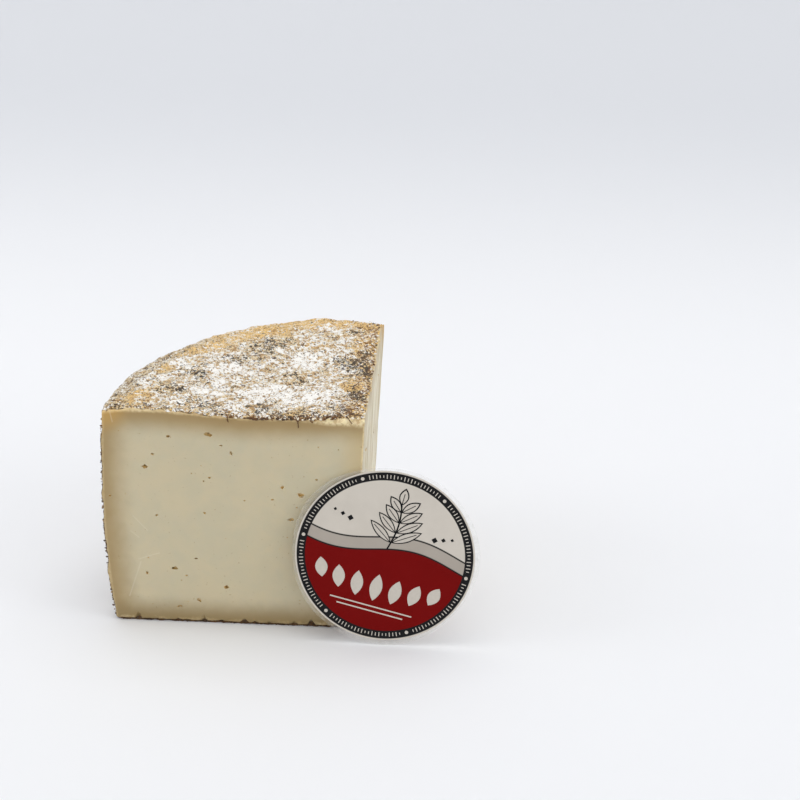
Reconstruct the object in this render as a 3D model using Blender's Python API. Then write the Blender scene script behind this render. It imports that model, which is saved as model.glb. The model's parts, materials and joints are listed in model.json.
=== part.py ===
"""Quarter wheel of ripened goat's cheese, with its round label leaning on the cut face.

Metres, +Z up. The front cut faces -Y, the side cut faces +X, and the round wall lies behind
them. The origin is on the underside, at the middle of the quarter's area.
"""

import math
import random

import bmesh
import bpy
from mathutils import Matrix, Vector, noise

# The wheel's wall
WHEEL_RADIUS = 0.1310
HEAD_TAPER = 0.0019
FOOT_TAPER = 0.0042
BELLY_SHARE = 0.57
RIM_ROUND = 0.0022
FOOT_ROUND = 0.0026
BACK_CORNER_LOSS = 0.0058
BACK_CORNER_SPREAD = math.radians(15)

# The wheel's top, from the hub out
HUB_HEIGHT = 0.1181
DISH_HEIGHT = 0.1164
CREST_HEIGHT = 0.1196
RIM_HEIGHT = 0.1174
DISH_SHARE = 0.40
CREST_SHARE = 0.84
SHOULDER_SHARE = 0.92

# The two knife cuts
SIDE_CUT_LEAN = 0.0056
CUT_WAVE = 0.0005
CUT_WAVE_LENGTH = 0.022
CUT_EDGE_DROP = 0.0008

# The rind
RIND_LUMP = 0.0010
RIND_LUMP_LENGTH = 0.016
RIND_CRAG = 0.0007
RIND_CRAG_LENGTH = 0.0062
FOOT_NOTCH = 0.0013
FOOT_NOTCH_LENGTH = 0.0065

# The lattice of faces that the wheel is pressed from
CELLS = 29
EDGE_CELL_SHARE = 0.55

# Eyes in the two cuts: distance from the cuts' shared edge, height, width, tallness
FRONT_EYES = (
    (0.0770, 0.1070, 0.0041, 0.0020),
    (0.0970, 0.1050, 0.0018, 0.0018),
    (0.1090, 0.0880, 0.0029, 0.0025),
    (0.0660, 0.0970, 0.0016, 0.0027),
    (0.0410, 0.0790, 0.0021, 0.0022),
    (0.0320, 0.0750, 0.0032, 0.0036),
    (0.0370, 0.0610, 0.0030, 0.0022),
    (0.1100, 0.0280, 0.0018, 0.0020),
    (0.0960, 0.0310, 0.0025, 0.0022),
    (0.0700, 0.0210, 0.0026, 0.0025),
    (0.0840, 0.0130, 0.0023, 0.0025),
)
SIDE_EYES = (
    (0.0330, 0.0850, 0.0027, 0.0024),
    (0.0740, 0.0960, 0.0034, 0.0018),
    (0.0970, 0.0640, 0.0024, 0.0026),
    (0.0570, 0.0500, 0.0030, 0.0020),
    (0.0280, 0.0320, 0.0022, 0.0022),
    (0.0860, 0.0250, 0.0028, 0.0024),
)
EYE_DEPTH_SHARE = 0.55
EYE_SEED = 11

# The label and the film that it is stuck to
LABEL_RADIUS = 0.0447
FILM_MARGIN = 0.0020
FILM_WANDER = 0.0010
FILM_THICKNESS = 0.0006
FILM_SIDES = 72
LABEL_PAST_EDGE = 0.0105
FILM_FOOT_OUT = 0.0145
CLEARANCE = 0.0008

# A quarter disc's middle lies this share of its radius from both cuts.
MIDDLE_SHARE = 4 / (3 * math.pi)
APEX = Vector((MIDDLE_SHARE * WHEEL_RADIUS, -MIDDLE_SHARE * WHEEL_RADIUS, 0))


def smooth_step(low, high, value):
    share = min(1.0, max(0.0, (value - low) / (high - low)))
    return share * share * (3 - 2 * share)


def crowded(share):
    """Moves evenly spaced shares so that the first and last cells are narrow."""
    edge = 1 / CELLS
    if share < edge:
        return share * EDGE_CELL_SHARE
    if share > 1 - edge:
        return 1 - (1 - share) * EDGE_CELL_SHARE
    middle = (share - edge) / (1 - 2 * edge)
    return edge * EDGE_CELL_SHARE + middle * (1 - 2 * edge * EDGE_CELL_SHARE)


def rim_radius(turn):
    """Radius of the wheel at an angle from the front cut (0) to the side cut (a quarter turn)."""
    uneven = 0.0007 * math.sin(2.3 * turn + 0.4) + 0.0006 * math.sin(6.1 * turn + 1.3)
    worn = smooth_step(math.pi / 2 - BACK_CORNER_SPREAD, math.pi / 2, turn)
    return WHEEL_RADIUS - 0.0006 + uneven - BACK_CORNER_LOSS * worn


def top_height(share, turn):
    """Height of the top: a shallow dish round the hub, a crest near the rim, a sloping shoulder."""
    dish = (DISH_HEIGHT - HUB_HEIGHT) * smooth_step(0, DISH_SHARE, share)
    crest = (CREST_HEIGHT - DISH_HEIGHT) * smooth_step(DISH_SHARE, CREST_SHARE, share)
    shoulder = (RIM_HEIGHT - CREST_HEIGHT) * max(0.0, (share - SHOULDER_SHARE) / (1 - SHOULDER_SHARE))
    sway = 0.0006 * math.sin(3.1 * turn + 0.6) * share
    return HUB_HEIGHT + dish + crest + shoulder + sway


def wall_inset(height, top):
    """How far the wall stands inside the wheel's radius at a height."""
    belly = BELLY_SHARE * top
    if height < belly:
        inset = FOOT_TAPER * (1 - height / belly) ** 2
    else:
        inset = HEAD_TAPER * ((height - belly) / (top - belly)) ** 2
    for edge, size in ((height, FOOT_ROUND), (top - height, RIM_ROUND)):
        if edge < size:
            inset += size - math.sqrt(max(0.0, size**2 - (size - edge) ** 2))
    return inset


def side_cut_lean(height):
    """How far the side cut has drifted in from the wheel's hub at a height."""
    return SIDE_CUT_LEAN * (1 - height / HUB_HEIGHT)


def pressed(u, v, w):
    """Place in the wheel of a lattice point: u runs along the front cut, v along the side cut."""
    share = max(u, v)
    turn = 0.0
    if share > 0:
        turn = math.pi / 4 * v / u if u >= v else math.pi / 2 - math.pi / 4 * u / v
    height = w * top_height(share, turn)
    radius = share * (rim_radius(turn) - wall_inset(height, top_height(1.0, turn)))
    lean = side_cut_lean(height) * (1 - share * math.cos(turn))
    return Vector((-radius * math.cos(turn) - lean, radius * math.sin(turn), height))


def rind_relief(place):
    """Height of the rind's lumps and crags at a place, in metres."""
    lump = RIND_LUMP * noise.noise(place / RIND_LUMP_LENGTH)
    crag = RIND_CRAG * noise.noise(place / RIND_CRAG_LENGTH + Vector((7, 3, 5)))
    return lump + crag


def cut_relief(along, height):
    """How far the knife wandered at a place in a cut."""
    wave = Vector((along / CUT_WAVE_LENGTH, 0, height / (6 * CUT_WAVE_LENGTH)))
    return CUT_WAVE * noise.noise(wave)


def lattice_cube():
    """A cube from 0 to 1, each face cut into a lattice of small faces."""
    mesh = bmesh.new()
    bmesh.ops.create_cube(mesh, size=1.0, matrix=Matrix.Translation((0.5, 0.5, 0.5)))
    bmesh.ops.subdivide_edges(mesh, edges=mesh.edges[:], cuts=CELLS - 1, use_grid_fill=True)
    return mesh


def press_wheel(mesh):
    """Presses the cube into the quarter wheel, then roughens its rind and its cuts."""
    tiny = 1e-6
    for vert in mesh.verts:
        u, v, w = (crowded(min(1.0, max(0.0, c))) for c in vert.co)
        place = pressed(u, v, w)
        on_front = v < tiny
        on_side = u < tiny
        on_wall = max(u, v) > 1 - tiny
        relief = rind_relief(place)
        if w > 1 - tiny:
            place.z += relief
            if on_front or on_side:
                place.z -= CUT_EDGE_DROP
        elif w < tiny and (on_front or on_side or on_wall):
            notch = noise.noise(place / FOOT_NOTCH_LENGTH + Vector((0, 0, 9)))
            place.z += FOOT_NOTCH * max(0.0, notch)
        if on_wall:
            outward = Vector((place.x, place.y, 0)).normalized()
            outward *= Vector((0 if on_side else 1, 0 if on_front else 1, 0))
            place += outward * relief
        if on_front and not on_wall:
            place.y += cut_relief(place.x, place.z)
        if on_side and not on_wall:
            place.x += 2 * cut_relief(place.y, place.z)
        vert.co = place + APEX


def finish(name, colour, roughness):
    material = bpy.data.materials.new(name)
    material.use_nodes = True
    shader = material.node_tree.nodes["Principled BSDF"]
    shader.inputs["Base Color"].default_value = (*colour, 1)
    shader.inputs["Roughness"].default_value = roughness
    shader.inputs["Metallic"].default_value = 0
    return material


def add_object(name, mesh, material):
    data = bpy.data.meshes.new(name)
    mesh.to_mesh(data)
    mesh.free()
    data.materials.append(material)
    made = bpy.data.objects.new(name, data)
    bpy.context.scene.collection.objects.link(made)
    return made


def add_eye_cutters(material):
    """One object that holds a small lump for each eye, set half into its cut face."""
    draw = random.Random(EYE_SEED)
    mesh = bmesh.new()
    for eyes, axis in ((FRONT_EYES, "Y"), (SIDE_EYES, "X")):
        for along, height, width, tallness in eyes:
            depth = EYE_DEPTH_SHARE * (width + tallness)
            if axis == "Y":
                place = Vector((-along, 0, height))
                size = (width, depth, tallness, 1)
            else:
                place = Vector((-side_cut_lean(height), along, height))
                size = (depth, width, tallness, 1)
            tip = Matrix.Rotation(draw.uniform(-0.3, 0.3), 4, axis)
            spin = Matrix.Rotation(draw.uniform(0, math.tau), 4, axis)
            matrix = Matrix.Translation(place + APEX) @ tip @ Matrix.Diagonal(size) @ spin
            bmesh.ops.create_icosphere(mesh, subdivisions=1, radius=0.5, matrix=matrix)
    cutters = add_object("eye_cutters", mesh, material)
    cutters.hide_render = True
    cutters.display_type = "WIRE"
    return cutters


def add_cheese():
    """The quarter wheel: one solid, with its eyes cut in."""
    mesh = lattice_cube()
    press_wheel(mesh)
    bmesh.ops.recalc_face_normals(mesh, faces=mesh.faces[:])
    flat = [face for face in mesh.faces if all(abs(vert.co.z) < 1e-7 for vert in face.verts)]
    bmesh.ops.dissolve_faces(mesh, faces=flat, use_verts=True)
    paste = finish("cheese_paste", (0.54, 0.45, 0.30), 0.55)
    cheese = add_object("cheese", mesh, paste)
    eyes = cheese.modifiers.new("eyes", "BOOLEAN")
    eyes.operation = "DIFFERENCE"
    eyes.solver = "EXACT"
    eyes.object = add_eye_cutters(paste)


def film_radius(turn):
    """Radius of the hand-cut film at an angle round the label."""
    wander = 0.65 * math.sin(3 * turn + 0.6) + 0.35 * math.sin(5 * turn + 2.1)
    return LABEL_RADIUS + FILM_MARGIN + FILM_WANDER * wander


def add_label():
    """The label on its film: a thin disc that stands on its edge and leans on the front cut."""
    mesh = bmesh.new()
    bmesh.ops.create_circle(mesh, cap_ends=True, segments=FILM_SIDES, radius=1.0)
    for vert in mesh.verts:
        vert.co *= film_radius(math.atan2(vert.co.y, vert.co.x))
    foot = min(vert.co.y for vert in mesh.verts)
    rim = bmesh.ops.extrude_face_region(mesh, geom=mesh.faces[:])["geom"]
    raised = [item for item in rim if isinstance(item, bmesh.types.BMVert)]
    bmesh.ops.translate(mesh, verts=raised, vec=(0, 0, FILM_THICKNESS))
    bmesh.ops.recalc_face_normals(mesh, faces=mesh.faces[:])
    # The film's back touches the cut where its outline crosses the cuts' shared edge.
    reach = math.sqrt(film_radius(1.8) ** 2 - LABEL_PAST_EDGE**2) - foot
    lean = math.asin((FILM_FOOT_OUT - CLEARANCE) / reach)
    bmesh.ops.translate(mesh, verts=mesh.verts[:], vec=(0, -foot, 0))
    upright = Matrix.Rotation(math.pi / 2 - lean, 4, "X")
    bmesh.ops.transform(mesh, matrix=upright, verts=mesh.verts[:])
    lowest = min(vert.co.z for vert in mesh.verts)
    place = APEX + Vector((LABEL_PAST_EDGE, -FILM_FOOT_OUT, -lowest))
    bmesh.ops.translate(mesh, verts=mesh.verts[:], vec=place)
    add_object("label", mesh, finish("label_paper", (0.60, 0.06, 0.07), 0.35))


def main():
    for old in list(bpy.data.objects):
        bpy.data.objects.remove(old)
    add_cheese()
    add_label()


main()
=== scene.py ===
"""Looks of a quarter wheel of goat's cheese and its round label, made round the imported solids.

Metres, +Z up, in the frame of the solids. The front cut faces -Y and the side cut faces +X.
Shapes are worked out from the hub, the upright line where the two cuts meet.
"""

import json
import math
import random
from contextlib import contextmanager

import bmesh
import bpy
import numpy as np
from mathutils import Matrix, Vector, noise

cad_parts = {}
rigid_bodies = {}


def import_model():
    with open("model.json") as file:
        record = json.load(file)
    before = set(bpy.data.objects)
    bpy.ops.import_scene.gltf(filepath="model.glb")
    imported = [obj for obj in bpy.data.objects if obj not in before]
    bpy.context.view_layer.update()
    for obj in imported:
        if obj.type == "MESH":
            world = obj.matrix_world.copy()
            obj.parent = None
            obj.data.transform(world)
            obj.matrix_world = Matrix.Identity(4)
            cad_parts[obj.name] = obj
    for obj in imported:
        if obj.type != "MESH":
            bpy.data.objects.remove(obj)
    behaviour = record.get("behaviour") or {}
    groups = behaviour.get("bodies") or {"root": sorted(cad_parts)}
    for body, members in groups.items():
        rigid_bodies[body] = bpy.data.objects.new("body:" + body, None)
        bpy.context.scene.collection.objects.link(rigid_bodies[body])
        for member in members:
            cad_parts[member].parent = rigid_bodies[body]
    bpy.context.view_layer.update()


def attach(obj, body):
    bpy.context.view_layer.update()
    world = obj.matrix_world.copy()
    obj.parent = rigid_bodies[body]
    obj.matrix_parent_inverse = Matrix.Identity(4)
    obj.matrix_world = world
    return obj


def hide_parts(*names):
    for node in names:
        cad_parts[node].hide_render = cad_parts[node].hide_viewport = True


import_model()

bl_info = {
    "name": "Goat cheese quarter",
    "version": (1, 0, 0),
    "blender": (4, 5, 0),
    "location": "3D Viewport > Sidebar > Cheese",
    "description": "Models and finishes a quarter wheel of goat's cheese with its round label",
    "category": "Object",
}

BODY = "root"
MM = 0.001
NEAR = 1e-6

# A quarter disc's middle lies this share of its radius from both cuts.
MIDDLE_SHARE = 4 / (3 * math.pi)

# Places on the top rind, in millimetres: left of the hub, behind the hub, radius
BLOOM_PATCHES = (
    (68, 52, 15), (110, 32, 12), (52, 27, 20), (28, 21, 18), (34, 70, 18), (25, 107, 10),
    (78, 26, 12), (12, 60, 8), (96, 50, 9), (60, 9, 9),
)
SOOT_PATCHES = (
    (88, 45, 13), (57, 77, 13), (40, 47, 8), (10, 68, 11), (4, 54, 9), (15, 11, 10),
    (50, 12, 8), (4, 103, 8), (6, 30, 11), (72, 62, 9), (98, 22, 9), (80, 10, 8),
)
OCHRE_PATCHES = (
    (97, 67, 11), (85, 80, 11), (60, 99, 16), (115, 14, 11), (7, 86, 9), (8, 38, 10),
    (32, 84, 8), (30, 115, 14), (108, 46, 9), (35, 4, 8), (8, 118, 10),
)

# Eyes in the two cuts, in millimetres: distance from the hub, height, width, tallness
FRONT_EYES = (
    (77, 107, 4.3, 2.2), (97, 105, 1.9, 1.8), (109, 88, 3.1, 2.7), (66, 97, 1.6, 2.8),
    (71, 101, 1.5, 1.1), (105, 95, 1.9, 1.2), (80, 81, 1.2, 1.1), (77, 83, 1.4, 1.3),
    (86, 85, 1.1, 0.9), (41, 79, 2.2, 2.3), (32, 75, 3.4, 3.7), (37, 61, 3.2, 2.3),
    (46, 72, 1.5, 1.1), (60, 71, 1.1, 1.0), (80, 63, 1.3, 1.6), (104, 61, 1.7, 1.2),
    (127, 71, 1.5, 1.6), (85, 37, 1.7, 1.0), (110, 28, 1.7, 2.2), (96, 31, 2.7, 2.3),
    (90, 27, 1.5, 0.9), (70, 21, 2.8, 2.6), (84, 13, 2.3, 2.6), (94, 9, 3.0, 1.4),
    (39, 51, 1.1, 0.9), (36, 21, 1.1, 1.0), (33, 15, 0.9, 1.0), (24, 84, 1.3, 1.2),
    (23, 102, 0.9, 1.0), (13, 101, 0.9, 0.9), (2, 103, 0.9, 1.0), (34, 68, 1.3, 1.0),
)
SIDE_EYES = (
    (33, 85, 2.9, 2.5), (74, 96, 3.6, 2.0), (97, 64, 2.6, 2.7), (57, 50, 3.1, 2.2),
    (28, 32, 2.3, 2.3), (86, 25, 2.9, 2.5), (18, 70, 1.4, 1.2), (47, 101, 1.5, 1.1),
    (63, 74, 1.7, 1.4), (88, 82, 1.2, 1.6), (40, 62, 1.2, 1.0), (105, 40, 1.8, 1.3),
    (70, 33, 1.4, 1.1), (50, 18, 2.0, 1.6), (14, 48, 1.1, 1.3), (108, 92, 1.3, 1.1),
    (24, 12, 1.5, 1.2), (98, 12, 1.2, 1.0), (60, 88, 1.0, 1.2), (80, 55, 1.1, 0.9),
)
PINHOLES = 46

# Mean level of the top rind, and the level to which the paste is cut down where the rind hides it
MEAN_TOP = 0.118
HIDDEN_TOP = 0.110

# How far behind the cuts the paste is hidden, and the height above which a rind's edge is the top's
HIDDEN_BEHIND = 0.008
TOP_EDGE = 0.105

# Radius of the paste's edges at the base and at the hub
FOOT_EDGE = 0.0007
HUB_EDGE = 0.0006

# Rind: depth of the skirts of top and base, how far the wall runs under them, depth of their tuck
SKIRT = 0.009
WALL_OVERLAP = 0.004
TUCK = 0.0005

# A place deep inside the paste, from the hub
DEEP_INSIDE = (-0.05, 0.05, 0.06)

# Grids: cuts of the paste's cube in each of two rounds, cells and rows of the rind's pieces
PASTE_CUTS = 10
TOP_GRID = (264, 14)
BASE_GRID = (150, 12)
WALL_GRID = (300, 140)

# Loose mould: how deep crumbs sink in, radius of the threads, starts of the random draws
CRUMB_SINK = 0.00025
THREAD_RADIUS = 0.00026
PIT_SEED = 5
CRUMB_SEED = 23

# Label: rings of faces and sides of its thin sheets, height of its raised ink, gap under its print,
# height of its waves, and the ticks and dots round its black ring
SHEET_RINGS = 12
FILM_SIDES = 160
PRINT_SIDES = 128
RAISED_INK = 0.00005
PRINT_GAP = 0.00003
BUCKLE = 0.00012
RING_MIDDLE = 0.933
RING_STEPS = 150
RING_DOTS = 6

# Light of the lamps and of the room
LAMP_COLOUR = (1.0, 0.985, 0.97)
ROOM_COLOUR = (0.955, 0.975, 1.0, 1)

# Camera's lens and sensor in millimetres, the way it looks and its upward side
LENS = 108
SENSOR = 36
LOOK_WAY = (-0.05386555, 0.90097409, -0.43051619)
UP_WAY = (-0.03527198, 0.42915628, 0.90254129)

# Width of the bare rounded edge along each cut's top, in millimetres: distance from the hub, width
FRONT_ZONES = (
    (0, 3.0), (10, 2.6), (18, 1.8), (26, 0.9), (32, 0.35), (58, 0.35), (72, 0.6), (100, 0.8),
    (131, 1.3),
)
SIDE_ZONES = ((0, 2.4), (10, 1.2), (40, 0.8), (131, 1.0))

# Pale scratches on the front cut, in millimetres: from left of the hub and height, to the same
SCRATCHES = (
    (126.0, 121.0, 124.2, 112.0), (117.5, 51.5, 113.5, 48.0), (114.0, 35.5, 103.5, 39.5),
    (113.0, 34.0, 119.5, 14.0), (116.0, 60.0, 109.0, 52.0),
)

# Rind threads dragged over the top edge of the front cut, in millimetres: left of the hub,
# out from the cut, below the top
THREADS = (
    ((68.0, -1.6, -0.5), (67.6, -0.4, -0.1), (67.4, 0.4, 1.2), (67.0, 0.3, 2.9)),
    ((31.6, -2.6, -0.6), (32.2, -0.8, -0.2), (32.8, 0.5, 1.0), (32.9, 0.3, 3.2), (32.7, 0.2, 4.9)),
    ((35.0, -1.8, -0.5), (34.2, -0.4, 0.0), (33.0, 0.45, 1.5)),
    ((29.2, -2.4, -0.5), (27.6, -0.8, 0.0), (26.6, 0.4, 1.1), (25.6, 0.3, 1.9)),
    ((9.4, -2.6, -0.4), (8.6, -1.2, -0.1), (7.4, 0.2, 0.9), (6.4, 0.45, 2.6)),
    ((46.6, -1.6, -0.5), (46.0, -0.2, 0.1), (45.4, 0.4, 1.6)),
)


def length(name, default, description):
    return bpy.props.FloatProperty(
        name=name, description=description, default=default, precision=5, unit="LENGTH"
    )


def share(name, default, description):
    return bpy.props.FloatProperty(
        name=name, description=description, default=default, min=0, max=1, subtype="FACTOR"
    )


def angle(name, degrees, description):
    return bpy.props.FloatProperty(
        name=name, description=description, default=math.radians(degrees), subtype="ANGLE"
    )


def strength(name, default, description):
    return bpy.props.FloatProperty(name=name, description=description, default=default, min=0)


def colour(name, default, description):
    return bpy.props.FloatVectorProperty(
        name=name, description=description, default=default, min=0, max=1, subtype="COLOR"
    )


class WheelSizes(bpy.types.PropertyGroup):
    """Sizes of the wheel that the quarter was cut from."""

    radius: length("Radius", 0.1310, "Greatest radius of the wheel, at its belly")
    head_taper: length("Head taper", 0.0019, "How far the wall leans in towards the top")
    foot_taper: length("Foot taper", 0.0042, "How far the wall leans in towards the base")
    belly: share("Belly", 0.57, "Height of the wall's widest place")
    rim_round: length("Rim round", 0.0022, "Radius of the edge between wall and top")
    foot_round: length("Foot round", 0.0026, "Radius of the edge between wall and base")
    corner_loss: length("Corner loss", 0.0058, "How far the back corner is worn in")
    corner_spread: angle("Corner spread", 15, "How far round the wheel the wear reaches")
    hub_height: length("Hub height", 0.1181, "Height of the top at the wheel's hub")
    dish_height: length("Dish height", 0.1164, "Height of the top at its lowest ring")
    crest_height: length("Crest height", 0.1196, "Height of the top at its highest ring")
    rim_height: length("Rim height", 0.1174, "Height of the top at the rim")
    dish: share("Dish", 0.40, "Radius of the lowest ring")
    crest: share("Crest", 0.84, "Radius where the highest ring starts")
    shoulder: share("Shoulder", 0.92, "Radius where the top starts to fall to the rim")
    side_lean: length("Side cut lean", 0.0056, "How far the side cut drifts in at the base")
    rind: length("Rind", 0.0009, "Thickness of the rind")


class RindFinish(bpy.types.PropertyGroup):
    """Relief and colours of the mould rind."""

    lump: length("Lump", 0.0010, "Height of the broad lumps")
    lump_length: length("Lump length", 0.016, "Size of the broad lumps")
    crag: length("Crag", 0.0007, "Height of the crags")
    crag_length: length("Crag length", 0.0062, "Size of the crags")
    worm: length("Worm", 0.00042, "Height of the fine wrinkles")
    worm_length: length("Worm length", 0.0027, "Spacing of the fine wrinkles")
    bloom: colour("Bloom", (0.98, 0.953, 0.900), "White mould")
    cream: colour("Cream", (0.93, 0.80, 0.535), "Bare pale rind")
    tan: colour("Tan", (0.61, 0.42, 0.22), "Bare aged rind")
    ochre: colour("Ochre", (0.97, 0.66, 0.24), "Orange-yellow rind near the rim")
    brown: colour("Brown", (0.20, 0.095, 0.038), "Crevices and brown mould")
    soot: colour("Soot", (0.055, 0.047, 0.042), "Grey-black mould")
    ash: colour("Ash", (0.60, 0.52, 0.38), "Olive-grey mould of the shoulder and wall")


class PasteFinish(bpy.types.PropertyGroup):
    """Shape and colours of the cut paste."""

    edge_round: length("Edge round", 0.0015, "Radius of the cuts' top edge")
    knife_wave: length("Knife wave", 0.0005, "How far the knife wandered")
    wave_length: length("Wave length", 0.022, "Spacing of the knife's wander")
    paste: colour("Paste", (0.650, 0.560, 0.372), "The pale paste")
    grey_paste: colour("Grey paste", (0.605, 0.540, 0.372), "Its cooler patches")
    under_rind: colour("Under rind", (0.402, 0.276, 0.116), "Paste that dried under the rind")
    hub_band: colour("Hub band", (0.605, 0.480, 0.265), "Yellower paste beside the upright edge")
    # Partly the edge's own dry yellow, partly painted highlight where the rounded edge catches the
    # light
    dry_edge_and_highlight: colour("Dry edge", (0.95, 0.80, 0.49), "The rounded edge beside the rind")
    eye: colour("Eye", (0.68, 0.45, 0.16), "Inside of the eyes")
    streak: colour("Streak", (0.52, 0.37, 0.19), "Upright streaks of the side cut")


class LabelSizes(bpy.types.PropertyGroup):
    """Sizes and colours of the round label and its film."""

    radius: length("Radius", 0.0447, "Radius of the printed disc")
    margin: length("Film margin", 0.0020, "Mean width of clear film round the print")
    wander: length("Film wander", 0.0010, "How unevenly the film was cut")
    film: length("Film", 0.00022, "Thickness of the film")
    paper: length("Paper", 0.00018, "Thickness of the print")
    past_edge: length("Past edge", 0.0105, "How far right of the hub the label stands")
    foot_out: length("Foot out", 0.0145, "How far in front of the cut the label stands")
    clearance: length("Clearance", 0.0008, "Gap between the label and the cut")
    tilt: angle("Tilt", -14, "Turn of the print on its disc")
    black: colour("Black", (0.013, 0.013, 0.014), "Ring and outlines")
    white: colour("White", (0.68, 0.625, 0.55), "Upper field and small motifs")
    grey: colour("Grey", (0.455, 0.405, 0.350), "Band across the middle")
    red: colour("Red", (0.190, 0.0018, 0.0015), "Lower field")


class StudioSettings(bpy.types.PropertyGroup):
    """Camera, lights and floor."""

    camera_side: length("Camera side", 0.0793, "Camera's place right of the hub")
    camera_front: length("Camera front", 1.0451, "Camera's distance in front of the front cut")
    camera_height: length("Camera height", 0.6286, "Camera's height")
    floor: colour("Floor", (0.862, 0.865, 0.878), "Floor")
    # Darker than the floor: painted shade, as the upright backdrop gets less light
    backdrop: colour("Backdrop", (0.66, 0.672, 0.70), "Backdrop behind the floor")
    sky: strength("Sky", 0.74, "Strength of the room's light")
    key: strength("Key", 12.2, "Watts of the light overhead")
    side: strength("Side", 4.0, "Watts of the light at the right")
    left: strength("Left", 4.5, "Watts of the light at the left")


# Sums on arrays


def smooth_step(low, high, value):
    part = np.clip((value - low) / (high - low), 0, 1)
    return part * part * (3 - 2 * part)


def rough(places, spacing, shift=(0, 0, 0)):
    """Smooth noise from about -0.7 to 0.7 at each place, with features of the given spacing."""
    start = Vector(shift)
    return np.array([noise.noise(Vector(place) / spacing + start) for place in places.tolist()])


def drawn_up(places, axis, spacing, tall):
    """Places on a cut, scaled for noise that is drawn out upwards; axis runs along the cut."""
    return np.stack((places[:, axis] / spacing, 0 * places[:, axis], places[:, 2] / tall), -1)


def hub_place():
    wheel = bpy.context.scene.wheel_sizes
    return np.array((MIDDLE_SHARE * wheel.radius, -MIDDLE_SHARE * wheel.radius, 0))


def disc_polar(across, back):
    """Turns places in a square into shares of the radius and turns round a quarter disc."""
    part = np.maximum(across, back)
    safe = np.maximum(part, 1e-9)
    low = np.minimum(across, back) / safe * math.pi / 4
    return part, np.where(across >= back, low, math.pi / 2 - low)


# Form of the wheel, all round the hub


def rim_radius(wheel, turn):
    """Radius of the wheel from the front cut (turn 0) to the side cut (a quarter turn)."""
    uneven = 0.0007 * np.sin(2.3 * turn + 0.4) + 0.0006 * np.sin(6.1 * turn + 1.3)
    worn = smooth_step(math.pi / 2 - wheel.corner_spread, math.pi / 2, turn)
    return wheel.radius - 0.0006 + uneven - wheel.corner_loss * worn


def top_height(wheel, part, turn):
    dish = (wheel.dish_height - wheel.hub_height) * smooth_step(0, wheel.dish, part)
    crest = (wheel.crest_height - wheel.dish_height) * smooth_step(wheel.dish, wheel.crest, part)
    fall = np.clip((part - wheel.shoulder) / (1 - wheel.shoulder), 0, None)
    sway = 0.0006 * np.sin(3.1 * turn + 0.6) * part
    return wheel.hub_height + dish + crest + (wheel.rim_height - wheel.crest_height) * fall + sway


def wall_inset(wheel, height, top):
    """How far the wall stands inside the wheel's radius at a height."""
    belly = wheel.belly * top
    foot = wheel.foot_taper * (1 - height / belly) ** 2
    head = wheel.head_taper * ((height - belly) / (top - belly)) ** 2
    inset = np.where(height < belly, foot, head)
    for edge, size in ((height, wheel.foot_round), (top - height, wheel.rim_round)):
        inset += size - np.sqrt(np.clip(size**2 - np.clip(size - edge, 0, None) ** 2, 0, None))
    return inset


def side_lean(wheel, height):
    """How far the side cut has drifted in from the hub at a height."""
    return wheel.side_lean * (1 - height / wheel.hub_height)


def side_depth(wheel, places):
    """How far places round the hub lie behind the leaning side cut."""
    return -places[:, 0] - side_lean(wheel, places[:, 2])


def wheel_places(wheel, part, turn, height, reach):
    """Places round the hub, with the quarter's inner corner drawn in along the side cut's lean."""
    lean = side_lean(wheel, height) * (1 - part * np.cos(turn))
    return np.stack((-reach * np.cos(turn) - lean, reach * np.sin(turn), height), axis=-1)


def broad_relief(finish, places):
    """The lumps and crags that the solid has too."""
    lump = finish.lump * rough(places, finish.lump_length)
    return lump + finish.crag * rough(places, finish.crag_length, (7, 3, 5))


def fine_relief(finish, places):
    """Fine wrinkles like crowded threads, with pits between them."""
    warp = 0.5 * finish.worm_length * rough(places, 2 * finish.worm_length, (2, 8, 4))
    bent = places + warp[:, None]
    thread = 1 - np.minimum(1, 3.4 * np.abs(rough(bent, finish.worm_length, (1, 5, 9))))
    grit = rough(places, 0.45 * finish.worm_length, (4, 4, 1))
    return finish.worm * (thread - 0.35 + 0.55 * grit)


def ways_out(places, on_front, on_side):
    """Level ways out from the hub, which keep to the plane of a cut for points on it."""
    ways = places * (1, 1, 0) / np.maximum(np.hypot(places[:, 0], places[:, 1]), 1e-9)[:, None]
    ways[:, 1] *= ~on_front
    ways[:, 0] *= ~on_side
    return ways


def in_zones(places, zones):
    """A width that changes with the distance from the hub, read off a table of both."""
    reach = np.hypot(places[:, 0], places[:, 1])
    return np.interp(reach / MM, *zip(*zones)) * MM


def round_corner(first, second, size):
    """Draws a square corner in to a round one; first and second are distances from its faces."""
    inside = (first < size) & (second < size)
    from_first = size - first
    from_second = size - second
    pull = size / np.maximum(np.hypot(from_first, from_second), 1e-9)
    return (
        np.where(inside, size - from_first * pull, first),
        np.where(inside, size - from_second * pull, second),
    )


# Work on meshes


def deselect_all():
    bpy.ops.object.select_all(action="DESELECT")


def begin(name, obj=None):
    """Names the new object, makes it the only one selected and returns it."""
    made = obj or bpy.context.active_object
    made.name = name
    made.data.name = name
    deselect_all()
    made.select_set(True)
    bpy.context.view_layer.objects.active = made
    return made


def join(pieces, name):
    """Makes one object of several, and names it."""
    deselect_all()
    for piece in pieces:
        piece.select_set(True)
    bpy.context.view_layer.objects.active = pieces[0]
    bpy.ops.object.join()
    return begin(name)


@contextmanager
def editing():
    """Keeps the active object in edit mode while a block of lines works on its mesh."""
    bpy.ops.object.mode_set(mode="EDIT")
    yield
    bpy.ops.object.mode_set(mode="OBJECT")


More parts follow.
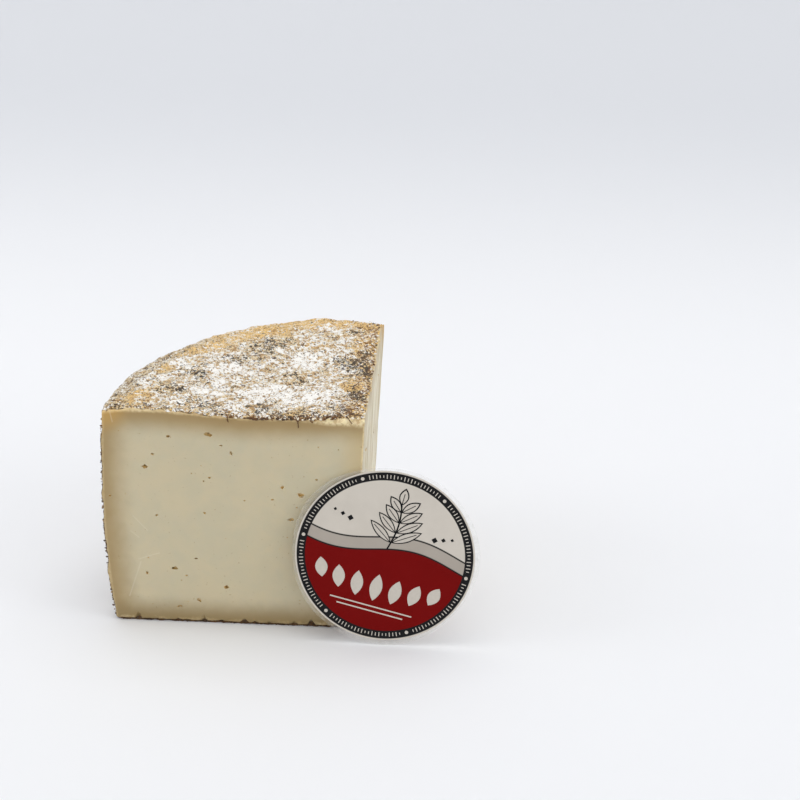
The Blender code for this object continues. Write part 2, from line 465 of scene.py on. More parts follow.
def select_where(obj, kind, wanted):
    """Selects, in edit mode, the edges or faces for whose corners' places wanted is true."""
    bpy.ops.mesh.select_mode(type=kind)
    bpy.ops.mesh.select_all(action="DESELECT")
    mesh = bmesh.from_edit_mesh(obj.data)
    for part in mesh.edges if kind == "EDGE" else mesh.faces:
        part.select_set(wanted([vert.co for vert in part.verts]))
    bmesh.update_edit_mesh(obj.data)


def select_border():
    """Selects, in edit mode, the edges where the surface ends."""
    bpy.ops.mesh.select_mode(type="EDGE")
    bpy.ops.mesh.select_all(action="DESELECT")
    bpy.ops.mesh.select_non_manifold()


def places_of(obj):
    flat = np.empty(3 * len(obj.data.vertices), np.float32)
    obj.data.vertices.foreach_get("co", flat)
    return flat.reshape(-1, 3).astype(float)


def set_places(obj, places):
    obj.data.vertices.foreach_set("co", places.astype(np.float32).ravel())
    obj.data.update()


def set_numbers(obj, name, values):
    made = obj.data.attributes.new(name, "FLOAT", "POINT")
    made.data.foreach_set("value", np.asarray(values, np.float32))


def face_outwards():
    with editing():
        bpy.ops.mesh.select_all(action="SELECT")
        bpy.ops.mesh.normals_make_consistent(inside=False)


def smooth(degrees):
    """Smooths the object, with hard edges where faces meet at more than so many degrees."""
    bpy.ops.object.shade_smooth_by_angle(angle=math.radians(degrees))


def apply_modifiers(obj):
    for modifier in list(obj.modifiers):
        bpy.ops.object.modifier_apply(modifier=modifier.name)


def stands_for(obj, node, slot, *materials):
    """Finishes a piece: its materials, the solid that it replaces and the body that it rides on."""
    for material in materials:
        obj.data.materials.append(material)
    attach(obj, BODY)
    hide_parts(node)


# Shader sums


class Wire:
    """An output of a material's node. Sums with it add the Math nodes that they need."""

    def __init__(self, finish, socket):
        self.finish = finish
        self.socket = socket

    def sum(self, operation, *values, clamp=False):
        values = dict(enumerate(values))
        return self.finish.node("Math", values, operation=operation, use_clamp=clamp)

    def __add__(self, other):
        return self.sum("ADD", self, other)

    __radd__ = __add__

    def __mul__(self, other):
        return self.sum("MULTIPLY", self, other)

    __rmul__ = __mul__

    def __sub__(self, other):
        return self.sum("SUBTRACT", self, other)

    def __rsub__(self, other):
        return self.sum("SUBTRACT", other, self)

    def __truediv__(self, other):
        return self.sum("DIVIDE", self, other)

    def __abs__(self):
        return self.sum("ABSOLUTE", self)

    def __pow__(self, other):
        return self.sum("POWER", self, other)

    def most(self, other):
        return self.sum("MAXIMUM", self, other)

    def held(self):
        """The value, kept from 0 to 1."""
        return self.sum("ADD", self, 0.0, clamp=True)

    def eased(self, low, high, start=0.0, end=1.0):
        """Goes smoothly from start to end as the value goes from low to high."""
        spans = {"Value": self, "From Min": low, "From Max": high, "To Min": start, "To Max": end}
        return self.finish.node("MapRange", spans, interpolation_type="SMOOTHSTEP")


class Finish:
    """A material that is painted by its nodes."""

    def __init__(self, name, roughness, **sockets):
        self.material = bpy.data.materials.new(name)
        self.material.use_nodes = True
        self.tree = self.material.node_tree
        self.shader = self.tree.nodes["Principled BSDF"]
        self.set("Roughness", roughness)
        for key, value in sockets.items():
            self.set(key.replace("_", " "), value)

    def set(self, name, value):
        """Gives one of the shader's sockets a value or a wire."""
        if isinstance(value, Wire):
            self.tree.links.new(value.socket, self.shader.inputs[name])
        else:
            self.shader.inputs[name].default_value = value

    def node(self, kind, values=None, output=0, stops=None, **settings):
        """Adds a node, with its settings, its ramp's stops and its sockets' values or wires."""
        made = self.tree.nodes.new("ShaderNode" + kind)
        for key, value in settings.items():
            setattr(made, key, value)
        if stops:
            ramp = made.color_ramp.elements
            while len(ramp) < len(stops):
                ramp.new(0.5)
            for element, (place, shade) in zip(ramp, stops):
                element.position = place
                element.color = (*shade, 1)
        for key, value in (values or {}).items():
            if isinstance(value, Wire):
                self.tree.links.new(value.socket, made.inputs[key])
            else:
                made.inputs[key].default_value = value
        return Wire(self, made.outputs[output])

    def place(self, scale=(1, 1, 1), centre=None):
        """Where a point of the surface lies, from the hub unless another centre is given."""
        centre = hub_place() if centre is None else centre
        here = self.node("TexCoord", output="Object")
        shift = tuple(-c * s for c, s in zip(centre, scale))
        return self.node("Mapping", {"Vector": here, "Location": shift, "Scale": scale})

    def parts(self, vector):
        made = self.tree.nodes.new("ShaderNodeSeparateXYZ")
        self.tree.links.new(vector.socket, made.inputs[0])
        return tuple(Wire(self, made.outputs[i]) for i in range(3))

    def cloud(self, vector, spacing, detail=2.0, distortion=0.0, roughness=0.5):
        values = {"Vector": vector, "Scale": 1 / spacing, "Detail": detail, "Roughness": roughness}
        values["Distortion"] = distortion
        return self.node("TexNoise", values)

    def blend(self, amount, first, second, way="MIX"):
        """Mixes two colours, each a wire or its three numbers."""
        first, second = (c if isinstance(c, Wire) else (*c, 1) for c in (first, second))
        values = {0: amount, 6: first, 7: second}
        return self.node("Mix", values, output=2, data_type="RGBA", blend_type=way)

    def darken(self, amount, first, second):
        return self.blend(amount, first, second, way="MULTIPLY")

    def layers(self, ground, *coats):
        """Paints coats over a ground, each with how much of it shows and its colour."""
        painted = ground
        for amount, coat in coats:
            painted = self.blend(amount, painted, coat)
        return painted

    def vector(self, operation, first, second):
        """Does a sum on two vectors, or on a vector and the number that scales it."""
        values = {0: first, "Scale" if operation == "SCALE" else 1: second}
        output = "Value" if operation in ("DISTANCE", "DOT_PRODUCT") else 0
        return self.node("VectorMath", values, output=output, operation=operation)

    def number(self, name):
        return self.node("Attribute", output="Fac", attribute_name=name)

    def done(self, colour):
        """Colours the surface and hands over the material."""
        self.set("Base Color", colour)
        return self.material

    def bump(self, height, distance, strength=1.0):
        values = {"Strength": strength, "Distance": distance, "Height": height}
        self.set("Normal", self.node("Bump", values))


def warped(finish, place, spacing, amount):
    """The place, pushed about by a cloud, so that patches get uneven outlines."""
    push = finish.node("TexNoise", {"Vector": place, "Scale": 1 / spacing}, output="Color")
    scaled = finish.vector("SCALE", finish.vector("SUBTRACT", push, (0.5, 0.5, 0.5)), amount)
    return finish.vector("ADD", place, scaled)


def patches(finish, place, spots):
    """1 in the middle of each listed patch of the top, falling to 0 at its radius."""
    total = 0.0
    for left, back, radius in spots:
        away = finish.vector("DISTANCE", place, (-left * MM, back * MM, MEAN_TOP))
        total = total + away.eased(0.25 * radius * MM, radius * MM, 1.0, 0.0)
    return total.held()


def rind_material():
    look = bpy.context.scene.rind_finish
    finish = Finish("mould_rind", 0.9, Specular_IOR_Level=0.2)
    place = finish.place()
    across, back, height = finish.parts(place)
    radius = (across * across + back * back) ** 0.5
    turn = finish.node("Math", {0: back, 1: 0 - across}, operation="ARCTAN2")
    torn = warped(finish, place, 0.011, 0.034)
    on_top = height.eased(0.1125, 0.1160)
    wall = 1 - height.eased(0.108, 0.1160)
    foot = height.eased(0.0012, 0.0034, 1.0, 0.0)

    broad = finish.cloud(place, 0.022, 3, 0.4) - 0.5
    clump = finish.cloud(place, 0.0075, 3, 0.6, 0.6) - 0.5
    fine = finish.cloud(place, 0.0030, 3, 0.8, 0.65) - 0.5
    grit = finish.cloud(place, 0.0011, 2, 0.3, 0.7) - 0.5
    curl = finish.cloud(place, 0.0027, 1.0, 1.3, 0.5) - 0.5
    thread = (1 - abs(curl) * 11).most(0.0)

    bloom_spots = patches(finish, torn, BLOOM_PATCHES)
    soot_spots = patches(finish, torn, SOOT_PATCHES)
    ochre_spots = patches(finish, torn, OCHRE_PATCHES)
    far_round = turn.eased(0.55, 0.95)
    shoulder = radius.eased(0.115, 0.1215) * (1 - far_round * 0.75)
    shoulder = shoulder * back.eased(0.002, 0.022, 0.45, 1.0)
    gold_rim = radius.eased(0.104, 0.116) * far_round * on_top
    crest = radius.eased(0.098, 0.112) * on_top
    near_side = (0 - across).eased(0.004, 0.019, 1.0, 0.0) * on_top
    near_front = back.eased(0.0015, 0.011, 1.0, 0.0) * on_top
    near_front = near_front * radius.eased(0.060, 0.085, 1.0, 0.25)

    warm = ochre_spots * 0.85 + crest * 0.30 + gold_rim * 0.75 + near_side * 0.55
    warm = warm + near_front * 0.45 + clump * 1.3 + broad * 0.9 - shoulder * 0.35
    warm = (warm - bloom_spots * 0.2).held()
    mottle = (fine * 2.6 + grit * 2.4 + clump * 0.8 + 0.55).held()
    plain = finish.blend(mottle, look.tan, look.cream)
    golden = finish.blend(mottle, look.tan, look.ochre)
    bare = finish.blend(warm, plain, golden)
    grey = (shoulder * 0.62 + wall * 0.6 + broad * 1.4 + clump - 0.02).held()
    bare = finish.blend(grey * (1 - ochre_spots * 0.7) * 0.8, bare, look.ash)

    drift = finish.cloud(place, 0.045, 3, 0.6) - 0.5
    cover = 0.05 + wall * drift * 2.2 + bloom_spots * 0.24 - warm * 0.30 - shoulder * 0.20
    cover = cover - wall * 0.16 - soot_spots * 0.14 + broad * 0.6 + clump * 1.25 + fine * 2.5
    cover = cover + grit * 1.5 + (thread - 0.3) * 0.42
    painted = finish.blend(cover.eased(-0.08, 0.20) * (1 - foot), bare, look.bloom)
    # Painted shade: the pits between the wrinkles and the grit are darkened towards brown.
    shade = fine * -1.9 + grit * -1.9 - thread * 0.16 + 0.03 - bloom_spots * 0.10
    painted = finish.darken(shade.eased(0.06, 0.30) * 0.54, painted, (0.54, 0.39, 0.25))

    dark = soot_spots * 0.106 + shoulder * 0.052 + near_side * 0.070 + near_front * 0.088
    dark = dark + wall * 0.03 - wall * drift * 0.5 - bloom_spots * 0.030 - gold_rim * 0.045
    dark = dark - clump * 0.16 - broad * 0.12 - 0.123
    speck = (finish.cloud(place, 0.0023, 2, 1.1, 0.6) - 0.5 + dark).eased(0.0, 0.032)
    small = (finish.cloud(place, 0.0012, 1.5, 0.6, 0.6) - 0.5 + dark * 0.9).eased(0.0, 0.038)
    brownness = (clump * 4 + near_side * 0.5 + 0.4 - soot_spots * 0.7).held()
    ink = finish.blend(brownness, look.soot, look.brown)
    painted = finish.blend(speck.most(small * 0.92) * 0.94, painted, ink)
    crust = finish.blend((fine * 3 + 0.4).held(), look.brown, look.soot)
    painted = finish.blend(foot * 0.9, painted, crust)
    finish.bump(thread * 0.5 + fine * 1.4 + grit * 0.8 + cover.eased(-0.1, 0.2) * 0.6, 0.0005, 0.8)
    return finish.done(painted)


def scratch_mask(finish, place):
    """Bright on the knife's pale scratches in the front cut."""
    flat = finish.vector("MULTIPLY", place, (1, 0, 1))
    total = 0.0
    for left, height, left_end, height_end in SCRATCHES:
        start = Vector((-left * MM, 0, height * MM))
        along = Vector((-left_end * MM, 0, height_end * MM)) - start
        from_start = finish.vector("SUBTRACT", flat, start)
        part = finish.vector("DOT_PRODUCT", from_start, along / along.length_squared).held()
        away = finish.vector("DISTANCE", from_start, finish.vector("SCALE", along, part))
        total = total + away.eased(0.00012, 0.00045, 1.0, 0.0)
    return total.held()


def paste_material():
    look = bpy.context.scene.paste_finish
    finish = Finish("cut_paste", 0.46, Specular_IOR_Level=0.4, Subsurface_Weight=0.18)
    finish.set("Subsurface Scale", 0.003)
    finish.set("Subsurface Radius", (1.0, 0.75, 0.4))
    place = finish.place()
    left, back, _ = finish.parts(place)
    names = ("under_top", "from_wall", "over_base", "from_hub", "bevel")
    under_top, from_wall, over_base, from_hub, bevel = (finish.number(n) / MM for n in names)
    side = (0 - left).eased(0.004, 0.010, 1.0, 0.0) * back.eased(0.0005, 0.003)

    broad = finish.cloud(place, 0.030, 3, 0.3)
    patchy = finish.cloud(place, 0.009, 3, 0.5)
    grain = finish.cloud(place, 0.0016, 3)
    warmth = (broad * 0.6 + patchy * 0.4).eased(0.36, 0.64)
    painted = finish.blend(warmth, look.grey_paste, look.paste)
    # The side cut: upright knife streaks over a pale ground; the pale ground is painted light, as
    # if lit from the right.
    streaks = finish.cloud(finish.place((1, 1, 0.05)), 0.0028, 3, 0.6)
    lines = finish.cloud(finish.place((1, 1, 0.035)), 0.0013, 2, 0.8)
    streaks_and_painted_light = finish.layers(
        (0.86, 0.80, 0.63),
        (streaks.eased(0.36, 0.56), look.paste),
        (streaks.eased(0.56, 0.68) * 0.65, look.streak),
        (lines.eased(0.60, 0.70) * 0.6, look.streak),
        (lines.eased(0.40, 0.30) * 0.6, (0.92, 0.88, 0.75)),
    )
    painted = finish.blend(side * 0.75, painted, streaks_and_painted_light)

    sway = (patchy - 0.5) * 5 + (broad - 0.5) * 5
    band = (from_hub + sway * 0.4).eased(1.0, 15.0, 0.92, 0.0)
    painted = finish.blend(band, painted, look.hub_band)
    top_glow = (under_top + sway * 0.45).eased(1.5, 15.5, 1.0, 0.0) ** 1.15
    wall_glow = (from_wall + sway * 0.9).eased(-1.0, 17.0, 1.0, 0.0)
    base_glow = (over_base + sway * 0.5).eased(1.0, 16.0, 1.0, 0.0) ** 1.15
    open_paste = (1 - top_glow) * (1 - wall_glow * 0.92) * (1 - base_glow)
    painted = finish.blend((1 - open_paste) * (1 - side * 0.55), painted, look.under_rind)
    painted = finish.darken(base_glow * (1 - side) * 0.55, painted, (0.72, 0.78, 0.88))
    corner = top_glow * from_wall.eased(2.0, 15.0, 1.0, 0.0)
    painted = finish.blend(corner * 0.85, painted, (0.58, 0.345, 0.095))
    scuff = finish.cloud(place, 0.0022, 3, 0.8)
    # The rounded edges of the cuts, at the top, the hub, the wall and in places at the base: their
    # dry yellow, painted far paler as painted highlight; narrow edges are painted browner.
    edge_colour_and_highlight = finish.blend(scuff.eased(0.44, 0.64) * 0.8, look.dry_edge_and_highlight, (0.62, 0.44, 0.22))
    edge_colour_and_highlight = finish.blend(bevel.eased(0.7, 1.9, 0.85, 0.0), edge_colour_and_highlight, (0.50, 0.345, 0.155))
    lip = ((under_top + (scuff - 0.5) * 1.1 + sway * 0.25) / bevel).eased(0.3, 1.5, 0.95, 0.0)
    lip = lip.most(from_hub.eased(0.3, 1.2, 0.6, 0.0)).most(from_wall.eased(0.1, 0.9, 0.3, 0.0))
    base_lip = (over_base + (scuff - 0.5) * 3).eased(0.9, 2.4, 1.0, 0.0)
    base_lip = base_lip * patchy.eased(0.49, 0.58) * 0.45
    edge_colour_and_highlight = finish.blend(corner * 0.75, edge_colour_and_highlight, (0.68, 0.45, 0.18))
    painted = finish.blend(lip.most(base_lip), painted, edge_colour_and_highlight)

    scratch = scratch_mask(finish, place) * back.eased(-0.0012, 0.0012, 1.0, 0.0)
    painted = finish.blend(scratch * 0.40, painted, (0.86, 0.81, 0.68))
    fleck = finish.cloud(place, 0.0013, 1, 0.5).eased(0.72, 0.77)
    painted = finish.blend(fleck * 0.45, painted, look.under_rind)
    finish.set("Roughness", 0.40 + patchy * 0.14)
    knife = finish.cloud(finish.place((0.25, 1, 1)), 0.0011, 2, 0.4)
    finish.bump(grain * 0.5 + knife * 0.5 + patchy * 0.8 - scratch * 0.5, 0.00012, 0.6)
    return finish.done(painted)


def eye_material():
    look = bpy.context.scene.paste_finish
    finish = Finish("eye_wall", 0.34, Specular_IOR_Level=0.5)
    place = finish.place()
    mottle = finish.cloud(place, 0.0012, 2)
    aged = finish.cloud(place, 0.014, 1).eased(0.46, 0.60)
    dark = tuple(0.46 * c for c in look.eye)
    old = finish.blend(mottle.eased(0.4, 0.62), dark, look.eye)
    fresh = finish.blend(mottle.eased(0.4, 0.62), look.eye, look.paste)
    return finish.done(finish.blend(aged, fresh, old))


def crumb_material():
    look = bpy.context.scene.rind_finish
    finish = Finish("rind_crumb", 0.9, Specular_IOR_Level=0.25)
    shade = finish.number("shade")
    stops = (
        (0.0, look.soot), (0.30, look.brown), (0.48, look.tan),
        (0.66, look.ochre), (0.82, look.cream), (1.0, look.bloom),
    )
    ramp = finish.node("ValToRGB", {"Fac": shade}, stops=stops)
    grit = finish.cloud(finish.place(), 0.0006, 2)
    finish.bump(grit, 0.0002, 0.6)
    return finish.done(finish.darken(grit.eased(0.35, 0.6, 0.5, 0.0), ramp, (0.5, 0.45, 0.4)))


def film_material():
    finish = Finish("clear_film", 0.16, Alpha=0.2, Specular_IOR_Level=0.6)
    place = finish.place()
    haze = finish.cloud(place, 0.006, 3, 0.8)
    finish.set("Alpha", haze.eased(0.3, 0.7, 0.04, 0.13))
    finish.bump(haze, 0.0002, 0.3)
    return finish.done(finish.blend(haze, (0.80, 0.77, 0.70), (0.93, 0.92, 0.88)))


def print_material():
    """Fields of plain colour: a ring, an upper field, a wavy band and a lower field."""
    look = bpy.context.scene.label_sizes
    finish = Finish("label_print", 0.42, Specular_IOR_Level=0.07)
    across, up, _ = finish.parts(finish.node("UVMap", uv_map="print"))
    radius = (across * across + up * up) ** 0.5
    hill = 0.05 - up + finish.node("Math", {0: across * 3.4 + 0.5}, operation="SINE") * 0.085
    edge = 0.012
    painted = finish.layers(
        look.white,
        (hill.eased(-0.15 - edge, -0.15), look.black),
        (hill.eased(-0.132 - edge, -0.132), look.grey),
        (hill.eased(0.0 - edge, 0.0), look.black),
        (hill.eased(0.018 - edge, 0.018), look.red),
        (radius.eased(0.885, 0.893), look.black),
        (radius.eased(0.978, 0.986), look.white),
    )
    here = finish.place()
    # Darker in soft blotches.
    soft_blotches = finish.cloud(here, 0.012, 2)
    painted = finish.darken(soft_blotches.eased(0.4, 0.7, 0.0, 0.10), painted, (0.6, 0.58, 0.56))
    waves = finish.cloud(here, 0.016, 1.5, 0.5) + finish.cloud(here, 0.003, 2) * 0.04
    finish.bump(waves, 0.0018, 0.35)
    return finish.done(painted)


def ink_material(name, look):
    finish = Finish(name, 0.42, Specular_IOR_Level=0.07)
    worn = finish.cloud(finish.place(), 0.0015, 2)
    faded = tuple(0.86 * c for c in look)
    return finish.done(finish.blend(worn, look, faded))


def stage_material():
    look = bpy.context.scene.studio_settings
    finish = Finish("studio_paper", 0.85, Specular_IOR_Level=0.2)
    place = finish.place(centre=(0, 0, 0))
    height = finish.parts(place)[2]
    drift = finish.cloud(place, 0.5, 2)
    floor = finish.blend(drift, look.floor, tuple(0.992 * c for c in look.floor))
    # The floor turns to the darker backdrop as it rises: painted shade on the upright part.
    return finish.done(finish.blend(height.eased(-0.02, 0.11), floor, look.backdrop))


# The paste


def press_paste(obj):
    """Presses a lattice cube into the quarter of paste that fills the rind."""
    wheel = bpy.context.scene.wheel_sizes
    look = bpy.context.scene.paste_finish
    rind = bpy.context.scene.rind_finish
    grid = np.clip(places_of(obj), 0, 1)
    on_front = grid[:, 1] < NEAR
    on_side = grid[:, 0] < NEAR
    on_wall = np.maximum(grid[:, 0], grid[:, 1]) > 1 - NEAR
    on_top = grid[:, 2] > 1 - NEAR
    on_base = grid[:, 2] < NEAR

    # Rows crowd towards the edges, where the cuts' rounded edge shows.
    crowd = grid + 0.55 * np.sin(2 * math.pi * grid) / (-2 * math.pi)
    part, turn = disc_polar(crowd[:, 0], crowd[:, 1])
    top = top_height(wheel, part, turn)
    height = wheel.rind + crowd[:, 2] * (top - 2 * wheel.rind)
    inset = wall_inset(wheel, height, top_height(wheel, 1.0, turn)) + 0.5 * wheel.rind
    places = wheel_places(wheel, part, turn, height, part * (rim_radius(wheel, turn) - inset))
    relief = broad_relief(rind, places)
    sway = 1 + 0.7 * rough(places * (1, 1, 0), 0.009, (3, 1, 2))
    front_round = (0.3 * look.edge_round + 0.6 * in_zones(places, FRONT_ZONES)) * sway
    side_round = (0.3 * look.edge_round + 0.6 * in_zones(places, SIDE_ZONES)) * sway

    under_top = top - wheel.rind - places[:, 2]
    from_side = side_depth(wheel, places)
    places[:, 1], under_top = round_corner(places[:, 1], under_top, front_round)
    from_side, under_top = round_corner(from_side, under_top, side_round)
    places[:, 2] = top - wheel.rind - under_top
    foot = places[:, 2] - wheel.rind
    places[:, 1], foot = round_corner(places[:, 1], foot, FOOT_EDGE)
    from_side, foot = round_corner(from_side, foot, FOOT_EDGE)
    places[:, 2] = foot + wheel.rind
    places[:, 1], from_side = round_corner(places[:, 1], from_side, HUB_EDGE)
    places[:, 0] = -from_side - side_lean(wheel, places[:, 2])

    places[:, 2] += np.where(on_top, relief, 0)
    places += ways_out(places, on_front, on_side) * np.where(on_wall, relief, 0)[:, None]

    # The knife wandered most in the side cut, and tore small notches at the base.
    wave, tall = look.wave_length, 6 * look.wave_length
    front_wave = look.knife_wave * rough(drawn_up(places, 0, wave, tall), 1.0)
    front_wave += 0.00012 * rough(places, 0.006, (5, 5, 5))
    places[:, 1] += np.where(on_front & ~on_wall, front_wave, 0)
    side_wave = 3.2 * look.knife_wave * rough(drawn_up(places, 1, wave, tall), 1.0)
    flat = drawn_up(places, 1, 0.0045, 0.07)
    side_wave += 0.0009 * rough(flat, 1.0, (9, 2, 6)) + 0.0004 * rough(flat * 2.3, 1.0, (1, 2, 6))
    places[:, 0] += np.where(on_side & ~on_wall, side_wave, 0)
    notch = np.clip(rough(places * (1, 1, 0), 0.0042, (0, 0, 9)) - 0.14, 0, None) * 0.0075
    notch += 0.0005 * np.clip(rough(places * (1, 1, 0), 0.0014, (4, 0, 9)), 0, None)
    near_cut = 1 - smooth_step(0.002, 0.006, np.minimum(places[:, 1], from_side))
    places[:, 2] += notch * near_cut * (1 - smooth_step(0.0, 0.004, foot))

    # What the rind hides is laid flat, so that it can be one face.
    hidden = np.minimum(places[:, 1], from_side) > HIDDEN_BEHIND
    places[:, 2] = np.where(on_top & hidden & ~on_wall, HIDDEN_TOP, places[:, 2])
    places[:, 2] = np.where(on_base & hidden & ~on_wall, wheel.rind, places[:, 2])
    set_places(obj, places + hub_place())


def measure_paste(obj):
    """Stores how far each point of the paste lies from the rind and from the hub's upright edge."""
    wheel = bpy.context.scene.wheel_sizes
    places = places_of(obj) - hub_place()
    reach = np.hypot(places[:, 0], places[:, 1])
    turn = np.arctan2(places[:, 1], -places[:, 0])
    part = np.clip(reach / rim_radius(wheel, turn), 0, 1)
    top = top_height(wheel, part, turn)
    inset = wall_inset(wheel, np.clip(places[:, 2], 0, top), top_height(wheel, 1.0, turn))
    set_numbers(obj, "under_top", top - wheel.rind - places[:, 2])
    set_numbers(obj, "from_wall", rim_radius(wheel, turn) - inset - wheel.rind - reach)
    set_numbers(obj, "over_base", places[:, 2] - wheel.rind)
    set_numbers(obj, "from_hub", np.hypot(side_depth(wheel, places), places[:, 1]))
    nearer_front = places[:, 1] < -places[:, 0]
    bevel = np.where(nearer_front, in_zones(places, FRONT_ZONES), in_zones(places, SIDE_ZONES))
    set_numbers(obj, "bevel", bevel + 0.0003)


def add_pit_cutters(material):
    """One mesh of small rough lumps, one for each eye and pinhole, set into the cuts."""
    wheel = bpy.context.scene.wheel_sizes
    draw = random.Random(PIT_SEED)
    eyes = [(eye, True) for eye in FRONT_EYES] + [(eye, False) for eye in SIDE_EYES]
    for _ in range(PINHOLES):
        size = draw.uniform(0.35, 0.8)
        eye = (draw.uniform(8, 124), draw.uniform(6, 112), size, size * draw.uniform(0.7, 1.2))
        eyes.append((eye, draw.random() < 0.6))
    lumps = []
    for (along, height, width, tall), in_front in eyes:
        detail = 2 if width > 1.2 else 1
        bpy.ops.mesh.primitive_ico_sphere_add(subdivisions=detail, radius=0.5 * MM)
        lump = begin("pit")
        for vert in lump.data.vertices:
            jag = noise.noise(vert.co / MM * 2.8 + Vector((along, height, 0)))
            vert.co *= 1 + 0.75 * jag
        deep = 0.5 * (width + tall)
        spin = Matrix.Rotation(draw.uniform(0, math.tau), 4, "Y")
        place = Vector((-along * MM, 0, height * MM))
        size = (width, deep, 0.82 * tall, 1)
        turn = Matrix.Rotation(draw.uniform(-0.3, 0.3), 4, "Y")
        if not in_front:
            place = Vector((-float(side_lean(wheel, height * MM)), along * MM, height * MM))
            turn = Matrix.Rotation(math.pi / 2, 4, "Z") @ turn
        middle = Matrix.Translation(place + Vector(hub_place()))
        lump.data.transform(middle @ turn @ Matrix.Diagonal(size) @ spin)
        lump.data.materials.append(material)
        lumps.append(lump)
    return join(lumps, "pits")


def keep_outer_shell(obj):
    """Removes the pits that lie wholly inside the paste, where no cut opens them."""
    outermost = min(obj.data.vertices, key=lambda vert: vert.co.x).index
    with editing():
        bpy.ops.mesh.select_mode(type="VERT")
        bpy.ops.mesh.select_all(action="DESELECT")
        mesh = bmesh.from_edit_mesh(obj.data)
        mesh.verts.ensure_lookup_table()
        mesh.verts[outermost].select_set(True)
        bmesh.update_edit_mesh(obj.data)
        bpy.ops.mesh.select_linked()
        bpy.ops.mesh.select_all(action="INVERT")
        bpy.ops.mesh.delete(type="VERT")


class CHEESE_OT_cut_paste(bpy.types.Operator):
    """Model the pale paste with its two knife cuts and its eyes"""

    bl_idname = "cheese.cut_paste"
    bl_label = "Cut Paste"

    def execute(self, context):
        bpy.ops.mesh.primitive_cube_add(size=1, location=(0, 0, 0))
        paste = begin("cheese_paste")
        paste.data.transform(Matrix.Translation((0.5, 0.5, 0.5)))
        with editing():
            bpy.ops.mesh.select_all(action="SELECT")
            for _ in range(2):
                bpy.ops.mesh.subdivide(number_cuts=PASTE_CUTS)
        press_paste(paste)
        face_outwards()
        with editing():
            for level in (HIDDEN_TOP, context.scene.wheel_sizes.rind):
                select_where(
                    paste, "FACE", lambda ends: all(abs(end.z - level) < NEAR for end in ends)
                )
                bpy.ops.mesh.dissolve_faces(use_verts=True)

        paste.data.materials.append(paste_material())
        cutters = add_pit_cutters(eye_material())
        begin("cheese_paste", paste)
        pits = paste.modifiers.new("pits", "BOOLEAN")
        pits.operation = "DIFFERENCE"
        pits.solver = "EXACT"
        pits.material_mode = "TRANSFER"
        pits.object = cutters
        apply_modifiers(paste)
        bpy.data.objects.remove(cutters)
        keep_outer_shell(paste)
        smooth(38)
        measure_paste(paste)
        stands_for(paste, "cheese", "cheese")
        return {"FINISHED"}


# The rind


def edge_recess(places, zones):
    """How far behind a cut the rind stops: as its zones say at the top, and near it lower down."""
    along = places * (1, 1, 0)
    ragged = rough(along, 0.0034, (6, 6, 6)) + 0.6 * rough(along, 0.0013, (2, 6, 1))
    broad = rough(along, 0.018, (8, 1, 3))
    top = in_zones(places, zones) * (1 + 0.5 * broad) + 0.0013 * ragged
    low = 0.0005 + 0.0007 * ragged
    return np.clip(np.where(places[:, 2] > TOP_EDGE, top, low), 0.00010, None)


def draw_back(wheel, places):
    """Draws the rind's edges back from the two cuts, by squeezing the next few millimetres."""
    reach = 0.007
    front = np.clip(1 - places[:, 1] / reach, 0, 1)
    from_side = side_depth(wheel, places)
    side = np.clip(1 - from_side / reach, 0, 1)
    shift = edge_recess(places, FRONT_ZONES) * front
    places[:, 0] -= edge_recess(places, SIDE_ZONES) * side
    places[:, 1] += shift
    return places


